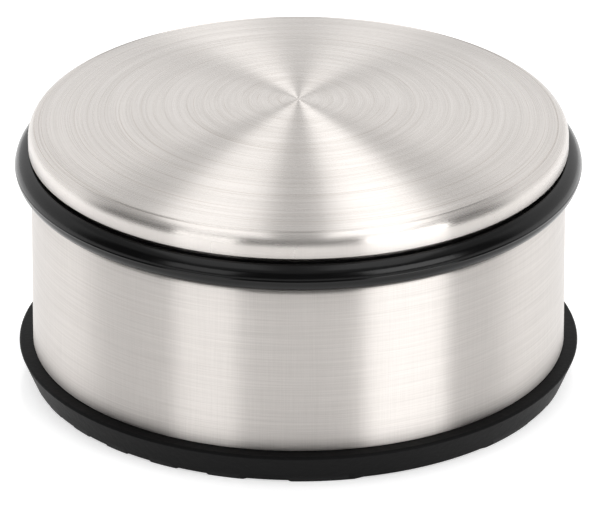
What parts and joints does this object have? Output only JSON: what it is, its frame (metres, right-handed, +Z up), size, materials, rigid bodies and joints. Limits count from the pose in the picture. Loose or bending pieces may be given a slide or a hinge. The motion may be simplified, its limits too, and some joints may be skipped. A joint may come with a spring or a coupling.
{
  "type": "floor door stop",
  "caption": "Heavy round floor door stop: brushed steel housing with a domed lid, a rubber bumper ring and a ribbed rubber sole.",
  "frame": {"origin": "centre of the tread's underside, where the stop stands on the floor", "axes": "+Z up along the axis of revolution; the front is -Y"},
  "size_m": [0.1102, 0.1102, 0.0568],
  "materials": {
    "lid_steel": "concentric brushed stainless, plain drawn rim with a straight skirt",
    "shell_steel": "circumferentially brushed stainless",
    "ring_rubber": "glossy black moulded rubber",
    "pad_rubber": "matt black moulded rubber",
    "stud_zinc": "bright zinc-plated steel",
    "spring_steel": "phosphated spring steel",
    "plate_zinc": "galvanised pressed steel",
    "concrete": "cast concrete",
    "foam": "closed-cell foam",
    "adhesive": "double-sided adhesive film"
  },
  "bodies": {
    "root": {"lid": "lid_steel", "lid_stud": "stud_zinc", "lid_damper": "foam", "body_shell": "shell_steel", "bumper_ring": "ring_rubber", "deck_liner": "foam", "ballast_block": "concrete", "base_plate": "plate_zinc", "stud_washer": "stud_zinc", "spring_washer": "spring_steel", "stud_nut": "stud_zinc", "pad_adhesive": "adhesive", "base_pad": "pad_rubber"}
  },
  "joints": []
}
